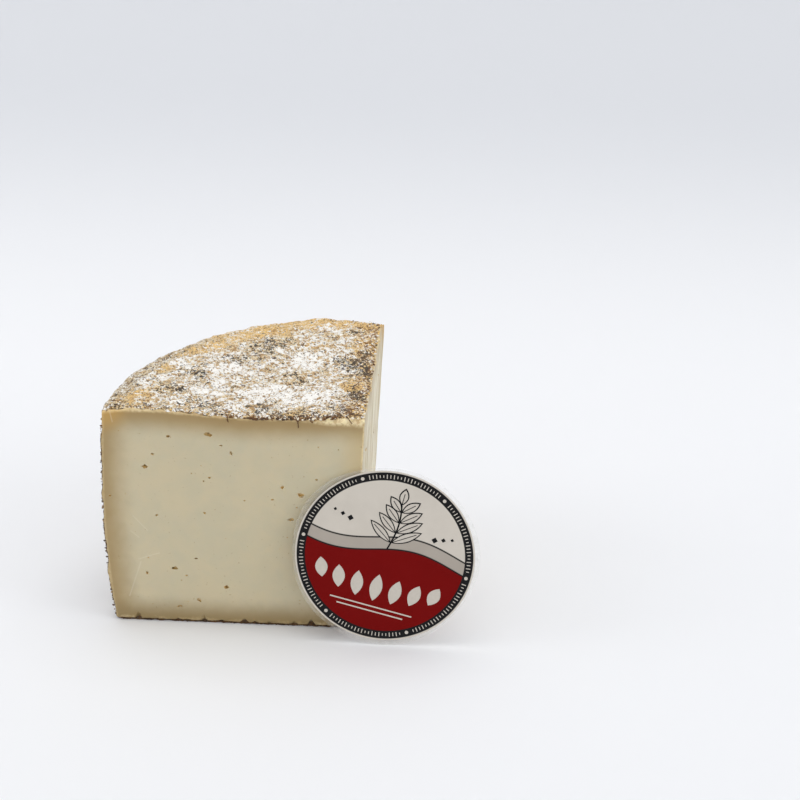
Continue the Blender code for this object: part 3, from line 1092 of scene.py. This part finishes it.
def add_rind_slab(name, cells, rows, from_base):
    """The rind of the top or of the base, with a skirt down or up the wall."""
    wheel = bpy.context.scene.wheel_sizes
    look = bpy.context.scene.rind_finish
    bpy.ops.mesh.primitive_grid_add(x_subdivisions=cells, y_subdivisions=cells, size=1)
    slab = begin(name)
    slab.data.transform(Matrix.Translation((0.5, 0.5, 1)))

    def up_the_wall(ends):
        upright = abs(ends[0].z - ends[1].z) > 0.5
        return upright and max(ends[0].x, ends[0].y) > 1 - NEAR

    with editing():
        select_border()
        bpy.ops.mesh.extrude_edges_move(TRANSFORM_OT_translate={"value": (0, 0, -1)})
        bpy.ops.mesh.edge_face_add()
        select_where(slab, "EDGE", up_the_wall)
        bpy.ops.mesh.subdivide(number_cuts=rows - 1)

    grid = np.clip(places_of(slab), 0, 1)
    part, turn = disc_polar(grid[:, 0], grid[:, 1])
    on_wall = part > 1 - NEAR
    top = top_height(wheel, part, turn)
    skirt = SKIRT * (1 - grid[:, 2])
    rim_top = top_height(wheel, 1.0, turn)
    height = skirt if from_base else top - skirt
    inset = wall_inset(wheel, skirt if from_base else rim_top - skirt, rim_top)
    rise = np.clip(skirt / (wheel.foot_round if from_base else wheel.rim_round), 0, 1)
    tuck = TUCK * (skirt / SKIRT) ** 3
    reach = part * (rim_radius(wheel, turn) - inset - tuck)
    places = wheel_places(wheel, part, turn, height, reach)
    relief = broad_relief(look, places)
    if from_base:
        cut_edge = 1 - smooth_step(0.001, 0.012, np.minimum(places[:, 1], -places[:, 0]))
        relief = np.where(on_wall, relief, 0) + 0.3 * np.abs(relief) * cut_edge * ~on_wall
    fineness = np.where(on_wall, 0.6, 1.0) * (0.4 if from_base else 1)
    relief = relief + np.where(skirt < 0.9 * SKIRT, fine_relief(look, places), 0) * fineness
    lean = np.sqrt(np.clip(1 - (1 - rise) ** 2, 0, 1)) * on_wall
    outward = ways_out(places, grid[:, 1] <= NEAR, grid[:, 0] <= NEAR)
    places += outward * (lean * relief)[:, None]
    if from_base:
        places[:, 2] += np.where(skirt < NEAR, np.abs(relief), 0) * cut_edge
    else:
        places[:, 2] += np.where(on_wall, 1 - rise, 1) * (skirt < NEAR + on_wall) * relief
        from_cut = np.minimum(places[:, 1], side_depth(wheel, places))
        thin = np.clip(1 - from_cut / 0.0022, 0, 1) ** 2 * (skirt < 0.001)
        places[:, 2] -= 0.85 * wheel.rind * thin
    places = draw_back(wheel, places)
    dip = np.where(on_wall, 0.3, 1.0) * 0.008 * (skirt / SKIRT)
    places[:, 1] += dip * np.clip(1 - places[:, 1] / 0.02, 0, 1)
    places[:, 0] -= dip * np.clip(1 + places[:, 0] / 0.02, 0, 1)
    places[:, 2] = np.maximum(places[:, 2], 0)
    set_places(slab, places + hub_place())
    face_outwards()
    smooth(70)
    return slab


def add_rind_wall(around, rows):
    """The rind of the round wall, closed through the hub behind the paste."""
    wheel = bpy.context.scene.wheel_sizes
    look = bpy.context.scene.rind_finish
    bpy.ops.mesh.primitive_grid_add(x_subdivisions=around, y_subdivisions=rows, size=1)
    wall = begin("rind_wall")
    wall.data.transform(Matrix.Translation((0.5, 0.5, 0)))
    grid = np.clip(places_of(wall), 0, 1)
    turn = grid[:, 0] * math.pi / 2
    rim_top = top_height(wheel, 1.0, turn)
    height = WALL_OVERLAP + grid[:, 1] * (rim_top - 2 * WALL_OVERLAP)
    ends = np.minimum(height - WALL_OVERLAP, rim_top - WALL_OVERLAP - height)
    tuck = TUCK * (1 - smooth_step(0, 0.005, ends))
    inset = wall_inset(wheel, height, rim_top) + tuck
    places = wheel_places(wheel, 1.0, turn, height, rim_radius(wheel, turn) - inset)
    relief = broad_relief(look, places) + 0.6 * fine_relief(look, places)
    outward = np.stack((-np.cos(turn), np.sin(turn), 0 * turn), -1)
    outward[:, 1] *= grid[:, 0] > NEAR
    outward[:, 0] *= grid[:, 0] < 1 - NEAR
    places += outward * relief[:, None]
    set_places(wall, draw_back(wheel, places) + hub_place())

    # The sheet's border is closed by one point, hidden deep inside the paste.
    with editing():
        select_border()
        bpy.ops.mesh.extrude_edges_move(TRANSFORM_OT_translate={"value": (0, 0, 0)})
        bpy.ops.mesh.merge(type="CENTER")
        mesh = bmesh.from_edit_mesh(wall.data)
        for vert in mesh.verts:
            if vert.select:
                vert.co = Vector(hub_place()) + Vector(DEEP_INSIDE)
        bmesh.update_edit_mesh(wall.data)
    face_outwards()
    smooth(70)
    return wall


class CHEESE_OT_grow_rind(bpy.types.Operator):
    """Model the mould rind of the top, the wall and the base"""

    bl_idname = "cheese.grow_rind"
    bl_label = "Grow Rind"

    def execute(self, context):
        rind = rind_material()
        top = add_rind_slab("rind_top", *TOP_GRID, from_base=False)
        base = add_rind_slab("rind_base", *BASE_GRID, from_base=True)
        wall = add_rind_wall(*WALL_GRID)
        for piece in (top, base, wall):
            begin(piece.name, piece)
            stands_for(piece, "cheese", "cheese", rind)
        return {"FINISHED"}


def top_place(wheel, left, back, look):
    """The rind's surface above a place on the top, given in metres from the hub."""
    reach = math.hypot(left, back)
    turn = math.atan2(back, left)
    part = min(1.0, reach / float(rim_radius(wheel, turn)))
    place = np.array([[-left, back, float(top_height(wheel, part, turn))]])
    place[:, 2] += broad_relief(look, place)
    return Vector(place[0])


def crumb_places(draw):
    """Where the crumbs lie, how large they are and how pale, from 0 for soot to 1 for bloom."""
    wheel = bpy.context.scene.wheel_sizes
    look = bpy.context.scene.rind_finish
    found = []
    edge_shades = (0.05, 0.2, 0.3, 0.42, 0.6, 0.66, 0.85, 1.0)

    def on_top(left, back, depth=1):
        return top_place(wheel, left, back, look) - depth * Vector((0, 0, CRUMB_SINK))

    def lay(place, sizes, shades, swell=1.0):
        """Lays a crumb, its shade between two ends or chosen from more than two."""
        size = draw.uniform(*sizes) * swell
        shade = draw.uniform(*shades) if len(shades) == 2 else draw.choice(shades)
        found.append((place, size, shade))

    for _ in range(190):
        left = draw.uniform(0.001, 0.128)
        lay(on_top(left, max(0.0006, draw.gauss(0.0030, 0.0013))), (0.45, 1.25), edge_shades)
    for _ in range(135):
        left = draw.uniform(0.014, 0.066)
        place = on_top(left, draw.uniform(0.0001, 0.0026), depth=2)
        lay(place, (0.8, 1.9), (0.1, 0.2, 0.25, 0.3, 0.36, 0.9))
    for _ in range(240):
        back = draw.uniform(0.001, 0.117)
        lay(on_top(max(0.0008, draw.gauss(0.0034, 0.0022)), back), (0.45, 1.45), edge_shades)
    for number in range(420):
        along = draw.uniform(0.001, 0.1245)
        lump = max(0.0, noise.noise(Vector((along / 0.006, 3.0, number % 2))))
        place = Vector((-along, draw.uniform(0.0, 0.0006), draw.uniform(0.0003, 0.0009)))
        if number % 2:
            drift = float(side_lean(wheel, 0.0))
            place = Vector((-drift - place.y, min(along, 0.119), place.z))
        place.z += lump * 0.0012
        lay(place, (0.4, 0.9), (0.0, 0.26), swell=1 + lump)
    for _ in range(150):
        height = draw.uniform(0.003, 0.113)
        reach = float(rim_radius(wheel, 0.0)) - float(wall_inset(wheel, height, wheel.rim_height))
        place = (-reach + draw.uniform(-0.0002, 0.0005), draw.uniform(0.0001, 0.0010), height)
        lay(Vector(place), (0.4, 1.1), (0.05, 0.45))
    for left, back, radius in SOOT_PATCHES:
        for _ in range(int(radius * 4)):
            spread = radius * MM * 0.75
            at_left = left * MM + draw.gauss(0, spread)
            at_back = back * MM + draw.gauss(0, spread)
            if at_left > 0.001 and at_back > 0.001 and math.hypot(at_left, at_back) < 0.124:
                lay(on_top(at_left, at_back), (0.35, 0.9), (0.0, 0.3))
    for _ in range(1500):
        reach = 0.122 * math.sqrt(draw.random())
        turn = draw.uniform(0.01, 0.99) * math.pi / 2
        pale = draw.choice((0.05, 0.28, 0.42, 0.8, 0.95, 1.0, 1.0, 1.0))
        place = on_top(reach * math.cos(turn), reach * math.sin(turn))
        found.append((place, draw.uniform(0.35, 0.85), pale))
    return found


class CHEESE_OT_scatter_crumbs(bpy.types.Operator):
    """Scatter crumbs of mould over the rind and along its cut edges"""

    bl_idname = "cheese.scatter_crumbs"
    bl_label = "Scatter Crumbs"

    def execute(self, context):
        bpy.ops.mesh.primitive_ico_sphere_add(subdivisions=1, radius=0.5 * MM)
        crumb = begin("rind_crumbs")
        shape = places_of(crumb)
        faces = np.array([tuple(face.vertices) for face in crumb.data.polygons])
        draw = random.Random(CRUMB_SEED)
        points, corners, shades = [], [], []
        for place, size, pale in crumb_places(draw):
            jag = np.array([draw.uniform(0.72, 1.28) for _ in shape])
            stretch = [draw.uniform(0.7, 1.5), draw.uniform(0.7, 1.5), draw.uniform(0.5, 0.8)]
            turn = np.array(Matrix.Rotation(draw.uniform(0, math.tau), 3, "Z"))
            corners.append(faces + len(shape) * len(points))
            points.append((shape * jag[:, None] * stretch * size) @ turn.T + place + hub_place())
            shades.append(np.full(len(shape), pale))
        mesh = bpy.data.meshes.new("rind_crumbs")
        mesh.from_pydata(np.concatenate(points).tolist(), [], np.concatenate(corners).tolist())
        crumb.data = mesh
        low = places_of(crumb)
        low[:, 2] = np.maximum(low[:, 2], 0)
        set_places(crumb, low)
        set_numbers(crumb, "shade", np.concatenate(shades))
        bpy.ops.object.shade_smooth()
        stands_for(crumb, "cheese", "cheese", crumb_material())
        return {"FINISHED"}


class CHEESE_OT_drag_threads(bpy.types.Operator):
    """Lay the dark rind threads that the knife dragged over the top edge"""

    bl_idname = "cheese.drag_threads"
    bl_label = "Drag Threads"

    def execute(self, context):
        wheel = context.scene.wheel_sizes
        look = context.scene.rind_finish
        strands = []
        for number, points in enumerate(THREADS):
            bpy.ops.curve.primitive_bezier_curve_add()
            strand = begin("rind_thread_%d" % number)
            strand.data.splines.clear()
            spline = strand.data.splines.new("NURBS")
            spline.points.add(len(points) - 1)
            for knot, (left, out, below) in zip(spline.points, points):
                place = top_place(wheel, left * MM, max(0.0, -out) * MM, look)
                place = Vector((place.x, -out * MM, place.z - below * MM))
                knot.co = (*(place + Vector(hub_place())), 1)
                knot.radius = 0.6 + 0.5 * abs(math.sin(2.2 * left + below))
            spline.use_endpoint_u = True
            spline.order_u = 3
            strand.data.dimensions = "3D"
            strand.data.bevel_depth = THREAD_RADIUS
            strand.data.bevel_resolution = 2
            strand.data.resolution_u = 8
            strand.data.use_fill_caps = True
            bpy.ops.object.convert(target="MESH")
            bpy.ops.object.transform_apply(location=True, rotation=True, scale=True)
            strands.append(bpy.context.active_object)
        threads = join(strands, "rind_threads")
        places = places_of(threads)
        wobble = 0.00022 * rough(places, 0.0011, (3, 3, 3))
        set_places(threads, places + wobble[:, None])
        face_outwards()
        set_numbers(threads, "shade", 0.2 + 0.16 * rough(places, 0.003))
        bpy.ops.object.shade_smooth()
        stands_for(threads, "cheese", "cheese", bpy.data.materials["rind_crumb"])
        return {"FINISHED"}


# The label


def film_radius(look, turn):
    wander = 0.65 * math.sin(3 * turn + 0.6) + 0.35 * math.sin(5 * turn + 2.1)
    return look.radius + look.margin + look.wander * wander


def label_stand(look):
    """Moves flat label work, drawn round the disc's middle, to where the label leans."""
    turns = [math.tau * step / 720 for step in range(720)]
    foot = min(film_radius(look, turn) * math.sin(turn) for turn in turns)
    reach = math.sqrt(film_radius(look, 1.8) ** 2 - look.past_edge**2) - foot
    lean = math.asin((look.foot_out - look.clearance) / reach)
    stand = Matrix.Rotation(math.pi / 2 - lean, 4, "X") @ Matrix.Translation((0, -foot, 0))
    place = Vector(hub_place()) + Vector((look.past_edge, -look.foot_out, 0))
    return Matrix.Translation(place) @ stand


def buckle(places):
    """The slight waves of film and paper that dried on a shelf."""
    return BUCKLE * (1 + rough(places, 0.020, (4, 0, 2)))


def add_sheet(name, sides, outline, low, thickness):
    """A thin round sheet of rings about its middle, closed top, bottom and side."""
    bpy.ops.mesh.primitive_circle_add(vertices=sides, radius=1, fill_type="TRIFAN")
    sheet = begin(name)
    with editing():
        select_where(sheet, "EDGE", lambda ends: min(end.length for end in ends) < NEAR)
        bpy.ops.mesh.subdivide(number_cuts=SHEET_RINGS - 1)
        bpy.ops.mesh.select_all(action="SELECT")
        bpy.ops.mesh.extrude_region_move(TRANSFORM_OT_translate={"value": (0, 0, 1)})
    places = places_of(sheet)
    turns = np.arctan2(places[:, 1], places[:, 0])
    reach = np.hypot(places[:, 0], places[:, 1])
    edge = np.array([outline(turn) for turn in turns])
    flat = np.stack((reach * edge * np.cos(turns), reach * edge * np.sin(turns), 0 * reach), -1)
    flat[:, 2] = low + thickness * places[:, 2] + buckle(flat)
    set_places(sheet, flat)
    with editing():
        select_border()
        bpy.ops.mesh.fill_holes(sides=0)
    face_outwards()
    smooth(40)
    return sheet


def stand_up(obj, stand):
    obj.data.transform(stand)
    obj.data.update()


class Motifs:
    """Flat outlines that together make the raised ink of the label."""

    def __init__(self, tilt):
        self.turn = Matrix.Rotation(tilt, 2)
        self.points = []
        self.faces = []
        self.inks = []

    def add(self, ink, outline, thickness):
        """Adds a thin plate from an outline, in metres from the disc's middle."""
        first = len(self.points)
        size = len(outline)
        ground = [self.turn @ Vector(point) for point in outline]
        for height in (0.0, thickness):
            self.points += [(point.x, point.y, height) for point in ground]
        self.faces.append(tuple(first + i for i in reversed(range(size))))
        self.faces.append(tuple(first + size + i for i in range(size)))
        for i in range(size):
            after = (i + 1) % size
            self.faces.append((first + i, first + after, first + size + after, first + size + i))
        self.inks += [ink] * (size + 2)


def toward(turn):
    return Vector((math.cos(turn), math.sin(turn)))


def leaf(base, heading, size, width):
    """Outline of a pointed leaf that grows from a base point along a heading."""
    along = toward(heading)
    aside = Vector((-along.y, along.x))
    steps = 9
    outline = []
    for side in (1, -1):
        for step in range(steps):
            part = step / steps
            if side < 0:
                part = 1 - part
            swell = math.sin(math.pi * part) ** 0.85
            outline.append(base + along * size * part + aside * side * width * swell)
    return outline


def bar(start, end, width):
    """Outline of a straight stroke."""
    along = (end - start).normalized() * width / 2
    aside = Vector((-along.y, along.x))
    return [start - aside, end - aside, end + aside, start + aside]


def add_motifs(look, low):
    """Sprig in the upper field, grains in the lower field, ticks round the ring."""
    white, black = 0, 1
    work = Motifs(look.tilt)
    ring = RING_MIDDLE * look.radius
    from_dot = RING_STEPS // RING_DOTS
    tick = 0
    for step in range(RING_STEPS):
        turn = math.tau * step / RING_STEPS
        if step % from_dot in (0, 1, from_dot - 1):
            continue
        tall = (0.0007, 0.0011, 0.0009, 0.0011, 0.0006)[tick % 5]
        tick += 1
        along = toward(turn)
        work.add(white, bar(along * (ring - tall), along * (ring + tall), 0.00042), RAISED_INK)
    for step in range(RING_DOTS):
        turn = math.tau * step / RING_DOTS
        middle = toward(turn) * ring
        dot = [middle + toward(a) * 0.0009 for a in np.arange(0, math.tau, math.tau / 16)]
        work.add(white, dot, RAISED_INK)

    rise = np.linspace(0, 1, 14)
    stem = [Vector((0.0024 * math.sin(2.6 * part), 0.0040 + 0.0240 * part)) for part in rise]
    for start, end in zip(stem, stem[1:]):
        work.add(black, bar(start, end, 0.0008), RAISED_INK)
    shoots = [(base, side) for base in stem[2:-1:3] for side in (1, -1)]
    for number, (base, side) in enumerate([*shoots, (stem[-1], 0)]):
        heading = math.radians(90 - side * (56 - 1.5 * number))
        size = 0.0165 - 0.0009 * number
        along = toward(heading)
        work.add(black, leaf(base, heading, size, 0.0025), RAISED_INK)
        blade = leaf(base + along * 0.0008, heading, size - 0.0018, 0.0019)
        work.add(white, blade, RAISED_INK * 1.6)
        work.add(black, bar(base, base + along * (size - 0.003), 0.0004), RAISED_INK * 2.2)
    for side in (-1, 1):
        for step, size in enumerate((0.0016, 0.0012, 0.0009)):
            middle = Vector((side * (0.0215 + 0.0042 * step), 0.0150 + 0.0012 * step))
            diamond = [middle + Vector(way) * size for way in ((1, 0), (0, 1), (-1, 0), (0, -1))]
            work.add(black, diamond, RAISED_INK)

    for number in range(7):
        shift = number - 3
        base = Vector((0.0091 * shift, -0.0245 + 0.0006 * shift * shift))
        tall = 0.0145 - 0.0013 * abs(shift)
        work.add(white, leaf(base, math.radians(90 - 6 * shift), tall, 0.0031), RAISED_INK)
    for level, half in ((-0.0275, 0.021), (-0.0300, 0.017)):
        work.add(white, bar(Vector((-half, level)), Vector((half, level)), 0.0007), RAISED_INK)

    bpy.ops.mesh.primitive_plane_add(size=0.01)
    motifs = begin("label_motifs")
    mesh = bpy.data.meshes.new("label_motifs")
    mesh.from_pydata(work.points, [], work.faces)
    motifs.data = mesh
    for face, ink in zip(mesh.polygons, work.inks):
        face.material_index = ink
    places = places_of(motifs)
    flat = places * (1, 1, 0)
    places[:, 2] += low + buckle(flat)
    set_places(motifs, places)
    face_outwards()
    return motifs


class CHEESE_OT_place_label(bpy.types.Operator):
    """Model the printed label, its clear film and its raised ink motifs"""

    bl_idname = "cheese.place_label"
    bl_label = "Place Label"

    def execute(self, context):
        look = context.scene.label_sizes
        stand = label_stand(look)

        def outline(turn):
            return film_radius(look, turn)

        film = add_sheet("label_film", FILM_SIDES, outline, 0.0, look.film)
        stand_up(film, stand)
        stands_for(film, "label", "label", film_material())
        print_low = look.film + PRINT_GAP
        disc = add_sheet(
            "label_print", PRINT_SIDES, lambda turn: look.radius, print_low, look.paper
        )
        places = places_of(disc)
        layer = disc.data.uv_layers.new(name="print")
        spin = Matrix.Rotation(-look.tilt, 2)
        for loop in disc.data.loops:
            place = places[loop.vertex_index]
            layer.data[loop.index].uv = spin @ Vector((place[0], place[1])) / look.radius
        stand_up(disc, stand)
        stands_for(disc, "label", "label", print_material())
        motifs = add_motifs(look, print_low + look.paper)
        stand_up(motifs, stand)
        inks = [ink_material("ink_" + name, getattr(look, name)) for name in ("white", "black")]
        stands_for(motifs, "label", "label", *inks)
        return {"FINISHED"}


# The studio


class CHEESE_OT_set_stage(bpy.types.Operator):
    """Set the floor with its curved backdrop, the lights and the camera"""

    bl_idname = "cheese.set_stage"
    bl_label = "Set Stage"

    def execute(self, context):
        studio = context.scene.studio_settings
        bpy.ops.mesh.primitive_plane_add(size=1)
        floor = begin("studio_floor")
        floor.data.transform(Matrix.Diagonal((7, 4, 1, 1)) @ Matrix.Translation((0, -0.33, 0)))
        back = max(v.co.y for v in floor.data.vertices) - NEAR

        def at_back(ends):
            return all(end.y > back for end in ends)

        with editing():
            select_where(floor, "EDGE", at_back)
            bpy.ops.mesh.extrude_edges_move(TRANSFORM_OT_translate={"value": (0, 0, 3)})
            select_where(floor, "EDGE", lambda ends: at_back(ends) and ends[0].z + ends[1].z < NEAR)
            bpy.ops.mesh.bevel(offset=0.5, segments=24, affect="EDGES")
        bpy.ops.object.shade_smooth()
        floor.data.materials.append(stage_material())

        lights = (
            ("overhead_light", (0.0, 0.42, 1.5), (0.0, 0.12, 0.0), 1.7, studio.key),
            ("side_light", (1.5, -0.5, 0.9), (0.0, 0.0, 0.05), 1.1, studio.side),
            ("left_light", (-1.5, -0.1, 0.9), (-0.1, 0.0, 0.0), 1.1, studio.left),
        )
        # Name, place, aimed at, width in metres, watts
        for name, place, target, size, watts in lights:
            bpy.ops.object.light_add(type="AREA", location=place)
            light = context.active_object
            light.name = name
            light.data.shape = "DISK"
            light.data.size = size
            light.data.energy = watts
            light.data.color = LAMP_COLOUR
            way = Vector(target) - Vector(place)
            light.rotation_euler = way.to_track_quat("-Z", "Y").to_euler()

        world = bpy.data.worlds.new("studio_room")
        world.use_nodes = True
        room = world.node_tree.nodes["Background"]
        room.inputs["Color"].default_value = ROOM_COLOUR
        room.inputs["Strength"].default_value = studio.sky
        context.scene.world = world
        context.scene.view_settings.view_transform = "Standard"

        bpy.ops.object.camera_add()
        camera = context.active_object
        camera.name = "studio_camera"
        camera.data.sensor_width = SENSOR
        camera.data.lens = LENS
        camera.data.clip_end = 20
        forward, upward = Vector(LOOK_WAY), Vector(UP_WAY)
        right = forward.cross(upward).normalized()
        turn = Matrix((right, upward, -forward)).transposed().to_4x4()
        stand = Vector((studio.camera_side, -studio.camera_front, studio.camera_height))
        camera.matrix_world = Matrix.Translation(Vector(hub_place()) + stand) @ turn
        context.scene.camera = camera
        return {"FINISHED"}


class CHEESE_PT_workshop(bpy.types.Panel):
    """Lists the steps of the cheese in the sidebar"""

    bl_idname = "CHEESE_PT_workshop"
    bl_label = "Cheese"
    bl_space_type = "VIEW_3D"
    bl_region_type = "UI"
    bl_category = "Cheese"

    def draw(self, context):
        for step in STEPS:
            self.layout.operator(step.bl_idname)
        for name in SETTINGS:
            box = self.layout.box()
            settings = getattr(context.scene, name)
            box.label(text=settings.bl_rna.name)
            for key in settings.__annotations__:
                box.prop(settings, key)


STEPS = (
    CHEESE_OT_set_stage,
    CHEESE_OT_cut_paste,
    CHEESE_OT_grow_rind,
    CHEESE_OT_scatter_crumbs,
    CHEESE_OT_drag_threads,
    CHEESE_OT_place_label,
)
SETTINGS = {
    "wheel_sizes": WheelSizes,
    "rind_finish": RindFinish,
    "paste_finish": PasteFinish,
    "label_sizes": LabelSizes,
    "studio_settings": StudioSettings,
}


def register():
    for group in (*SETTINGS.values(), *STEPS, CHEESE_PT_workshop):
        bpy.utils.register_class(group)
    for name, group in SETTINGS.items():
        setattr(bpy.types.Scene, name, bpy.props.PointerProperty(type=group))


def unregister():
    for name in SETTINGS:
        delattr(bpy.types.Scene, name)
    for group in reversed((*SETTINGS.values(), *STEPS, CHEESE_PT_workshop)):
        bpy.utils.unregister_class(group)


def main():
    register()
    bpy.ops.cheese.set_stage()
    bpy.ops.cheese.cut_paste()
    bpy.ops.cheese.grow_rind()
    bpy.ops.cheese.scatter_crumbs()
    bpy.ops.cheese.drag_threads()
    bpy.ops.cheese.place_label()


if __name__ == "__main__":
    main()
